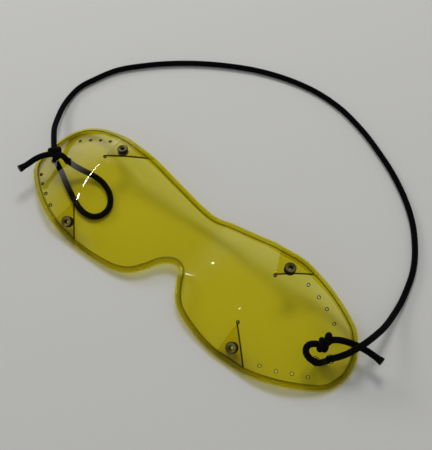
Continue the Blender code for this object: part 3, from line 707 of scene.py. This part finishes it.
def plated_brass():
    """Drawn brass, oxidised dark and lacquered, rubbed warm on the high rim, with painted shade near black in
    the bore and round the flange's rim.
    """
    made, tree = new_material("oxidised_drawn_brass")
    where = add_node(tree, "TexCoord").outputs["Object"]
    grain = add_node(tree, "TexNoise", {"Vector": where, "Scale": 1 / (0.7 * MM), "Detail": 6.0})
    wear = add_node(tree, "NewGeometry")
    edge = add_node(tree, "Math", {0: wear.outputs["Pointiness"], 1: grain}, operation="MULTIPLY")
    rubbed = add_node(tree, "MapRange", {"Value": edge, "From Min": 0.28, "From Max": 0.36, "To Max": 0.7})
    bright = add_node(tree, "Mix", {
        "Factor": rubbed, 6: chosen("plating"), 7: chosen("worn_metal")}, data_type="RGBA")
    # painted shade: the plating darkened in the bore and round the flange's outer rim
    dark = add_node(tree, "Attribute", attribute_name="bore_and_rim_shade").outputs["Fac"]
    colour = add_node(tree, "Mix", {
        "Factor": dark, 6: bright.outputs[2], 7: chosen("bore_and_rim_shade")}, data_type="RGBA")
    rough = add_node(tree, "MapRange", {
        "Value": grain, "From Min": 0.3, "From Max": 0.7, "To Min": 0.24, "To Max": 0.42})
    bump = add_node(tree, "Bump", {"Height": grain, "Strength": 0.3, "Distance": 0.03 * MM})
    solid = add_node(tree, "BsdfPrincipled", {
        "Base Color": colour.outputs[2], "Roughness": rough, "Metallic": 0.55, "Normal": bump})
    return finished(made, solid)


def braided_yarn():
    """Polyester braided over rubber: matt black, with a painted highlight on each yarn's crown, drawn coarse
    to show.
    """
    made, tree = new_material("braided_polyester_elastic")
    crown = add_node(tree, "Attribute", attribute_name="crown")
    spot = add_node(tree, "Attribute", attribute_name="yarn")
    fibre = add_node(tree, "TexNoise", {"Vector": spot.outputs["Vector"], "Scale": 1.0, "Detail": 4.0})
    # painted highlight: each yarn lighter on its crown, darker down in the grooves between
    share = add_node(tree, "Math", {0: crown.outputs["Fac"], 1: fibre}, operation="MULTIPLY")
    colour = add_node(tree, "Mix", {
        "Factor": share, 6: chosen("yarn"), 7: chosen("yarn_crown_highlight")}, data_type="RGBA")
    bump = add_node(tree, "Bump", {"Height": fibre, "Strength": 0.6, "Distance": 0.06 * MM})
    solid = add_node(tree, "BsdfPrincipled", {
        "Base Color": colour.outputs[2], "Roughness": 0.75, "Specular IOR Level": 0.05, "Normal": bump})
    return finished(made, solid)


def cut_core():
    """The rubber strands in the cord's cut end: matt dark grey, with the cut yarns round them."""
    made, tree = new_material("cut_rubber_core")
    where = add_node(tree, "TexCoord").outputs["Object"]
    strands = add_node(tree, "TexVoronoi", {"Vector": where, "Scale": 1 / (0.5 * MM)})
    colour = add_node(tree, "Mix", {
        "Factor": strands, 6: chosen("rubber"), 7: chosen("yarn")}, data_type="RGBA")
    bump = add_node(tree, "Bump", {"Height": strands, "Strength": 0.8, "Distance": 0.1 * MM})
    solid = add_node(tree, "BsdfPrincipled", {
        "Base Color": colour.outputs[2], "Roughness": 0.7, "Normal": bump})
    return finished(made, solid)


def pale_floor():
    """A plain pale woven ground: matt, with a faint cloth grain."""
    made, tree = new_material("plain_pale_cloth")
    where = add_node(tree, "TexCoord").outputs["Object"]
    grain = add_node(tree, "TexNoise", {"Vector": where, "Scale": 1 / (1.2 * MM), "Detail": 3.0})
    bump = add_node(tree, "Bump", {"Height": grain, "Strength": 0.25, "Distance": 0.1 * MM})
    solid = add_node(tree, "BsdfPrincipled", {
        "Base Color": chosen("floor"), "Roughness": 0.9, "Specular IOR Level": 0.1, "Normal": bump})
    return finished(made, solid)


def shared(maker):
    """One material of a kind, made the first time that it is asked for."""
    key = maker.__name__
    if key not in shared.made:
        shared.made[key] = maker()
    return shared.made[key]


shared.made = {}


def add_piece(name, bm, *makers):
    """A named smooth piece from a bmesh, with its materials, in the scene."""
    mesh = bpy.data.meshes.new(name)
    bm.to_mesh(mesh)
    bm.free()
    for maker in makers:
        mesh.materials.append(shared(maker))
    mesh.shade_smooth()
    mesh.set_sharp_from_angle(angle=SHARPEST_SMOOTH)
    made = bpy.data.objects.new(name, mesh)
    bpy.context.scene.collection.objects.link(made)
    return made


class GOGGLES_OT_sheet(bpy.types.Operator):
    """Makes the one clear sheet, punched, lapped at its darts and formed"""

    bl_idname = "goggles.sheet"
    bl_label = "Clear sheet"

    def execute(self, context):
        darts = DART_SHARES.values()
        # each hole with the width of the painted shade drawn round it; the holes are drawn smaller than cut
        holes = [(place(s[0]), RELIEF_RADIUS * RELIEF_DRAWN, RELIEF_SHADE_WIDTH) for s in darts]
        holes += [(clear_of_edge(s[3], WASHER_RADIUS), EYELET_RADIUS + GAP, HOLE_SHADE_WIDTH) for s in darts]
        snug = CORD_RADIUS + CORD_CLEARANCE * CLEARANCE_DRAWN
        holes += [(place(s), snug, HOLE_SHADE_WIDTH) for s in HOLE_SHARES]
        for share in VENT_SHARES:
            drawn, painted_shade = LEFT_VENT if share[0] < 0 else RIGHT_VENT
            holes.append((clear_of_edge(share, VENT_RADIUS), VENT_RADIUS * drawn, HOLE_SHADE_WIDTH * painted_shade))
        holes = [(centre, radius, Vector(slopes(*centre)), width) for centre, radius, width in holes]
        edge = inset(FINE_OUTLINE, BINDING_WALL + GAP)
        lip = inset(FINE_OUTLINE, BINDING_WIDTH)
        bm = bmesh.new()
        bm.verts.layers.float.new("painted_shade")
        for side, lift in FLAP_LIFT.items():
            cuts = [to_lip(*DARTS[f"{side}_{row}"][:2], lip) for row in ("upper", "lower")]
            add_layer(bm, flap_bounds(side), lambda x: lift, edge, holes, cuts)
        cuts = [to_lip(tip, outboard, lip) for tip, _, outboard, _, _ in DARTS.values()]
        add_layer(bm, middle_bounds(), lambda x: -FLAP_LIFT["left" if x < 0 else "right"], edge, holes, cuts)
        bmesh.ops.remove_doubles(bm, verts=bm.verts, dist=WELD)
        # two slots for the faces, then the rims of each: clear at the outline, dark at a cut or a hole
        piece = add_piece("clear_sheet", bm, clear_vinyl, clear_vinyl, binding_vinyl, cut_vinyl)
        solid = piece.modifiers.new("Thickness", "SOLIDIFY")
        solid.thickness = SHEET
        solid.offset = 0
        solid.material_offset_rim = 2
        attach(piece, "goggles")
        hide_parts("lens_sheet")
        return {"FINISHED"}


def binding_section(p, inward, lip):
    """The binding's cross section at a place on the outline, from one lip round the fold to the other."""
    climb_x, climb_y = slopes(p.x, p.y)
    shrink = 1 / math.hypot(1, climb_x * inward.x + climb_y * inward.y)

    def at(depth, outer, side):
        q = p + inward * depth * shrink
        half = SHEET / 2 + GAP + LAP_LIFT * lapped(q.x, q.y) + outer
        return on_sheet(q.x, q.y, side * half)

    # how deep in from the rim and how high over the layers: the lip, the swollen flat, and the fold
    wall, width = BINDING_WALL, BINDING_WIDTH
    top = [
        (width, lip * 0.4), (width, wall - lip), (width - lip, wall), (width * 0.85, wall * 1.12),
        (width * 0.65, wall * 1.25), (width * 0.45, wall * 1.28), (width * 0.28, wall * 1.15),
        (wall * 0.85, wall * 0.85), (wall * 0.4, wall * 0.4), (wall * 0.15, 0),
    ]
    round_top = [at(depth, outer, 1) for depth, outer in top]
    round_low = [at(depth, outer, -1) for depth, outer in top[::-1]]
    inner = [at(width * 0.5, 0, -1), at(wall, 0, -1), at(wall, 0, 1), at(width * 0.5, 0, 1)]
    return round_top + [at(0, -SHEET / 2 - GAP, 1)] + round_low + inner


class GOGGLES_OT_binding(bpy.types.Operator):
    """Makes the folded strip all round the edge"""

    bl_idname = "goggles.binding"
    bl_label = "Folded binding"

    def execute(self, context):
        lip = context.scene.goggles_sizes.lip_round
        bm = bmesh.new()
        painted_shade = bm.verts.layers.float.new("painted_shade")
        rings = []
        for i, p in enumerate(FINE_OUTLINE):
            run = (FINE_OUTLINE[(i + 1) % EDGE_STEPS] - FINE_OUTLINE[i - 1]).normalized()
            section = [bm.verts.new(co) for co in binding_section(p, Vector((run.y, -run.x)), lip)]
            # painted shade on the lip's section points, where the binding steps down onto the sheet
            for k, vertex in enumerate(section):
                vertex.co.z = max(vertex.co.z, 0.0)
                vertex[painted_shade] = LIP_SHADES[k] if k < len(LIP_SHADES) else 0.0
            rings.append([bm.edges.new((a, b)) for a, b in zip(section, section[1:] + section[:1])])
        for one, other in zip(rings, rings[1:] + rings[:1]):
            bmesh.ops.bridge_loops(bm, edges=one + other)
        lips = {edges[0] for edges in rings}
        for face in bm.faces:
            face.material_index = 1 if sum(edge in lips for edge in face.edges) == 2 else 0
        bmesh.ops.recalc_face_normals(bm, faces=bm.faces)
        piece = add_piece("folded_binding", bm, binding_vinyl, cut_vinyl)
        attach(piece, "goggles")
        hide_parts("edge_binding")
        return {"FINISHED"}


def turned(name, profile, share, replaced):
    """A metal piece turned from a closed profile of radius and height, set on the sheet at a place."""
    bm = bmesh.new()
    bore_and_rim_shade = bm.verts.layers.float.new("bore_and_rim_shade")
    points = [bm.verts.new((radius, 0, height)) for radius, height in profile]
    for vertex in points:
        # painted shade in the bore and round the flange's outer rim
        outer = ease((vertex.co.x / FLANGE_RADIUS - UNSHADED_FLANGE) / FLANGE_FADE)
        vertex[bore_and_rim_shade] = max(outer, 1 - ease((vertex.co.x / EYELET_BORE - THROAT) / THROAT_FADE))
    line = [bm.edges.new((a, b)) for a, b in zip(points, points[1:] + points[:1])]
    bmesh.ops.spin(
        bm, geom=points + line, cent=(0, 0, 0), axis=(0, 0, 1), angle=2 * math.pi, steps=TURN_STEPS,
        use_merge=True)
    bmesh.ops.recalc_face_normals(bm, faces=bm.faces)
    spot = clear_of_edge(share, WASHER_RADIUS)
    turn = Vector((0, 0, 1)).rotation_difference(facing(spot.x, spot.y)).to_matrix().to_4x4()
    bmesh.ops.transform(bm, matrix=Matrix.Translation(on_sheet(spot.x, spot.y)) @ turn, verts=bm.verts)
    piece = add_piece(name, bm, plated_brass)
    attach(piece, "goggles")
    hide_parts(replaced)


def rounded(points, steps):
    """A closed profile with its corners cut off at the quarters of each side, once or more."""
    for _ in range(steps):
        cut = []
        for a, b in zip(points, points[1:] + points[:1]):
            a, b = Vector(a), Vector(b)
            cut += [tuple(a.lerp(b, 0.25)), tuple(a.lerp(b, 0.75))]
        points = cut
    return points


class GOGGLES_OT_eyelets(bpy.types.Operator):
    """Makes the four rolled eyelets and the flat washers behind them"""

    bl_idname = "goggles.eyelets"
    bl_label = "Eyelets and washers"

    def execute(self, context):
        top = STACK_HALF
        low = -STACK_HALF - CURVE_ROOM
        roll = low - WASHER_HEIGHT - GAP
        throat = EYELET_BORE * THROAT
        # from the throat up over the dished flange, down the barrel and round the roll
        eyelet = [
            (throat, top), (throat * 1.15, top + FLANGE_HEIGHT * 0.3),
            (EYELET_RADIUS, top + FLANGE_HEIGHT * 0.5), (FLANGE_RADIUS * 0.75, top + FLANGE_HEIGHT * 1.05),
            (FLANGE_RADIUS * 0.93, top + FLANGE_HEIGHT), (FLANGE_RADIUS * 1.01, top + FLANGE_HEIGHT * 0.35),
            (FLANGE_RADIUS, top), (FLANGE_RADIUS * 0.9, top), (EYELET_RADIUS, top), (EYELET_RADIUS, roll),
            (ROLL_RADIUS * 0.95, roll), (ROLL_RADIUS, roll - ROLL_HEIGHT * 0.5),
            (EYELET_RADIUS * 1.1, roll - ROLL_HEIGHT), (throat * 0.6, roll - ROLL_HEIGHT * 0.6),
        ]
        inner, under = EYELET_RADIUS + GAP, low - WASHER_HEIGHT
        washer = [(inner, low), (WASHER_RADIUS, low), (WASHER_RADIUS, under), (inner, under)]
        for where, shares in DART_SHARES.items():
            turned(f"rolled_eyelet_{where}", rounded(eyelet, 2), shares[3], f"eyelet_{where}")
            turned(f"flat_washer_{where}", rounded(washer, 1), shares[3], f"washer_{where}")
        return {"FINISHED"}


def tube(name, line, swell):
    """A plain open tube round a line, as a mesh with the same number of vertices round each point."""
    curve = bpy.data.curves.new(name, "CURVE")
    curve.dimensions = "3D"
    curve.bevel_depth = CORD_RADIUS - bpy.context.scene.goggles_sizes.braid_relief / 2
    curve.bevel_resolution = BRAID_SIDES
    curve.use_fill_caps = False
    spline = curve.splines.new("POLY")
    spline.points.add(len(line) - 1)
    for point, co, share in zip(spline.points, line, swell):
        point.co = (*co, 1)
        point.radius = share
    source = bpy.data.objects.new(f"{name}_line", curve)
    bpy.context.scene.collection.objects.link(source)
    bpy.context.view_layer.update()
    graph = bpy.context.evaluated_depsgraph_get()
    mesh = bpy.data.meshes.new_from_object(source.evaluated_get(graph))
    bpy.data.objects.remove(source)
    return mesh


def close_end(bm, loop, centre, inward, swell, end):
    """Closes a tube's end with smaller rings and a cap, and gives the smallest ring."""
    rounds, depth = end
    push = CORD_RADIUS * depth
    inward = inward.normalized()
    edges = [bm.edges.get((a, b)) for a, b in zip(loop, loop[1:] + loop[:1])]
    for share in rounds:
        grown = bmesh.ops.extrude_edge_only(bm, edges=edges)["geom"]
        loop = [g for g in grown if isinstance(g, bmesh.types.BMVert)]
        edges = [g for g in grown if isinstance(g, bmesh.types.BMEdge) and all(v in loop for v in g.verts)]
        for vertex in loop:
            way = vertex.co - centre
            flat = (way - inward * way.dot(inward)).normalized() * CORD_RADIUS * swell * share
            vertex.co = centre + flat - inward * push * math.sqrt(1 - share * share)
    bmesh.ops.contextual_create(bm, geom=edges)
    return loop


def braided(name, route, replaced, flare=0.0, tight=1.0):
    """A tube along a smooth route, its yarns braided over and under each other, with its line and length."""
    sizes = bpy.context.scene.goggles_sizes
    line = along([Vector(p) for p in route], CORD_CURVE_STEPS, False)
    length = sum((b - a).length for a, b in zip(line, line[1:]))
    count = round(length / BRAID_STEP) + 1
    line = evenly(line, count, False)
    step = length / (count - 1)
    backs = ((count - 1 - i) * step / (FLARE_REACH * CORD_RADIUS) for i in range(count))
    swell = [tight * (1 + flare * (1 - ease(back))) for back in backs]
    mesh = tube(name, line, swell)
    sides = len(mesh.vertices) // count
    bm = bmesh.new()
    bm.from_mesh(mesh)
    bm.verts.ensure_lookup_table()
    crown = bm.verts.layers.float.new("crown")
    yarn = bm.verts.layers.float_vector.new("yarn")
    for i in range(count):
        for k in range(sides):
            vertex = bm.verts[i * sides + k]
            around = k / sides * BRAID_YARNS
            climb = i * step / sizes.braid_pitch * BRAID_YARNS
            right, left = around + climb, around - climb
            across, run = (right, left) if (math.floor(right) + math.floor(left)) % 2 else (left, right)
            lift = math.sin(math.pi * (across % 1))**YARN_ROUND
            lift *= YARN_LOW + YARN_RISE * math.sin(math.pi * (run % 1))
            out = (vertex.co - line[i]).normalized()
            vertex.co += out * sizes.braid_relief * (lift - 0.5)
            # the yarn's height, which the material shows as a painted highlight
            vertex[crown] = lift
            vertex[yarn] = Vector((across * YARN_FIBRES, run, i * step / FIBRE_LENGTH))
    first, last = ([bm.verts[i * sides + k] for k in range(sides)] for i in (0, count - 1))
    end = CUT_END if flare else TUCKED_END
    close_end(bm, first, line[0], line[1] - line[0], swell[0], end)
    last = close_end(bm, last, line[-1], line[-2] - line[-1], swell[-1], end)
    for face in bm.faces:
        face.material_index = int(flare > 0 and any(vertex in last for vertex in face.verts))
    bmesh.ops.recalc_face_normals(bm, faces=bm.faces)
    piece = add_piece(name, bm, braided_yarn, cut_core)
    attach(piece, "strap" if replaced == ("head_cord",) else "goggles")
    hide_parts(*replaced)
    return piece, line, length


def camera_axes():
    """The camera's right, up and backward directions."""
    a, e = CAMERA_TURN, CAMERA_TILT
    right = Vector((math.cos(a), math.sin(a), 0))
    up = Vector((-math.sin(a) * math.sin(e), math.cos(a) * math.sin(e), math.cos(e)))
    return right, up, right.cross(up)


def turns(centre, offsets):
    """A knot's turns about its middle, from millimetres to the photo's right, up and nearer."""
    axes = camera_axes()
    return [centre + sum((axis * share * MM for axis, share in zip(axes, o)), Vector()) for o in offsets]


class GOGGLES_OT_cord(bpy.types.Operator):
    """Makes the braided elastic cord, knotted at both ends"""

    bl_idname = "goggles.cord"
    bl_label = "Elastic cord"

    def execute(self, context):
        points = (LEFT_PIVOT, RIGHT_PIVOT, LEFT_PASSING, RIGHT_KNOT)
        left_pivot, right_pivot, aside, right_knot = (Vector(metres(p)) for p in points)
        routes = (HEAD_ROUTE, LEFT_LOOP_ROUTE, LEFT_TAIL_ROUTE, RIGHT_LOOP_ROUTE, RIGHT_TAIL_ROUTE)
        over_head, left_loop, left_tail, right_loop, right_tail = ([metres(p) for p in r] for r in routes)
        head, head_line, head_length = braided("head_elastic", [left_pivot, *over_head], ("head_cord",))
        near, left_line, left_length = braided(
            "left_end_elastic", [*left_loop, left_pivot + aside, *left_tail],
            ("cord_left_loop", "cord_left_tail"), flare=CUT_FLARE)
        far, right_line, right_length = braided(
            "right_end_elastic", [right_pivot, *right_loop, right_knot, *right_tail],
            ("cord_right_loop", "cord_right_tail"), flare=CUT_FLARE)
        left_turns, _, _ = braided(
            "left_knot_turns", turns(left_pivot, LEFT_TURNS), ("cord_left_knot",), tight=KNOT_TIGHTNESS)
        right_turns, _, _ = braided(
            "right_knot_turns", turns(right_knot, RIGHT_TURNS), ("cord_right_knot",), tight=KNOT_TIGHTNESS)
        return {"FINISHED"}


class GOGGLES_OT_stage(bpy.types.Operator):
    """Makes the pale floor, the soft lamps and the camera"""

    bl_idname = "goggles.stage"
    bl_label = "Stage"

    def execute(self, context):
        bm = bmesh.new()
        bmesh.ops.create_grid(bm, x_segments=1, y_segments=1, size=FLOOR_HALF)
        floor = add_piece("floor", bm, pale_floor)
        world = bpy.data.worlds.new("soft_room")
        world.use_nodes = True
        tree = world.node_tree
        tree.nodes.clear()
        path = add_node(tree, "LightPath")
        towards = add_node(tree, "TexCoord").outputs["Generated"]
        height = add_node(tree, "SeparateXYZ", {0: towards})
        walls = add_node(tree, "MapRange", {
            "Value": height.outputs["Z"], "From Min": 0.35, "From Max": 0.85,
            "To Min": ROOM_LOW, "To Max": ROOM_HIGH}, interpolation_type="SMOOTHSTEP")
        lit = add_node(tree, "Mix", {0: path.outputs["Is Glossy Ray"], 2: ROOM_LIGHT, 3: walls})
        level = add_node(tree, "Mix", {0: path.outputs["Is Camera Ray"], 2: lit, 3: ROOM_SEEN})
        room = add_node(tree, "Background", {"Color": ROOM_COLOUR, "Strength": level})
        add_node(tree, "OutputWorld", {"Surface": room})
        context.scene.world = world
        for name, (spot, aim, run, wide, power, spread) in LAMPS.items():
            lamp = bpy.data.lights.new(name, "AREA")
            lamp.shape = "RECTANGLE"
            lamp.size, lamp.size_y = wide
            lamp.energy = power
            holder = bpy.data.objects.new(name, lamp)
            context.scene.collection.objects.link(holder)
            away = (Vector(spot) - Vector(aim)).normalized()
            side = Vector(run).cross(away).normalized()
            turn = Matrix((side, away.cross(side), away)).transposed().to_4x4()
            holder.matrix_world = Matrix.Translation(spot) @ turn
            lamp.spread = math.radians(spread or 180)
            holder.visible_glossy = spread > 0
            holder.visible_diffuse = spread == 0
            holder.visible_camera = False
        camera = bpy.data.objects.new("camera", bpy.data.cameras.new("camera"))
        camera.data.sensor_fit = "HORIZONTAL"
        camera.data.lens = CAMERA_LENS
        camera.data.clip_start = CAMERA_NEAR
        camera.matrix_world = Matrix.Translation(CAMERA_EYE) @ Matrix(camera_axes()).transposed().to_4x4()
        context.scene.collection.objects.link(camera)
        context.scene.camera = camera
        context.scene.view_settings.view_transform = "Standard"
        return {"FINISHED"}


class GOGGLES_PT_panel(bpy.types.Panel):
    """Lists the goggles' pieces"""

    bl_idname = "GOGGLES_PT_panel"
    bl_label = "Goggles"
    bl_space_type = "VIEW_3D"
    bl_region_type = "UI"
    bl_category = "Goggles"

    def draw(self, context):
        for operator in OPERATORS:
            self.layout.operator(operator.bl_idname)
        for group in (context.scene.goggles_sizes, context.scene.goggles_colours):
            for name in group.bl_rna.properties.keys():
                if name not in ("rna_type", "name"):
                    self.layout.prop(group, name)


OPERATORS = (GOGGLES_OT_stage, GOGGLES_OT_cord, GOGGLES_OT_sheet, GOGGLES_OT_binding, GOGGLES_OT_eyelets)
CLASSES = (GogglesColours, GogglesSizes, *OPERATORS, GOGGLES_PT_panel)


def register():
    """Registers the classes and their settings."""
    for kind in CLASSES:
        bpy.utils.register_class(kind)
    bpy.types.Scene.goggles_colours = bpy.props.PointerProperty(type=GogglesColours)
    bpy.types.Scene.goggles_sizes = bpy.props.PointerProperty(type=GogglesSizes)


def unregister():
    """Takes the settings and the classes away again."""
    del bpy.types.Scene.goggles_colours
    del bpy.types.Scene.goggles_sizes
    for kind in reversed(CLASSES):
        bpy.utils.unregister_class(kind)


def main():
    """Makes every piece in order."""
    register()
    for operator in OPERATORS:
        group, name = operator.bl_idname.split(".")
        getattr(getattr(bpy.ops, group), name)()


if __name__ == "__main__":
    main()
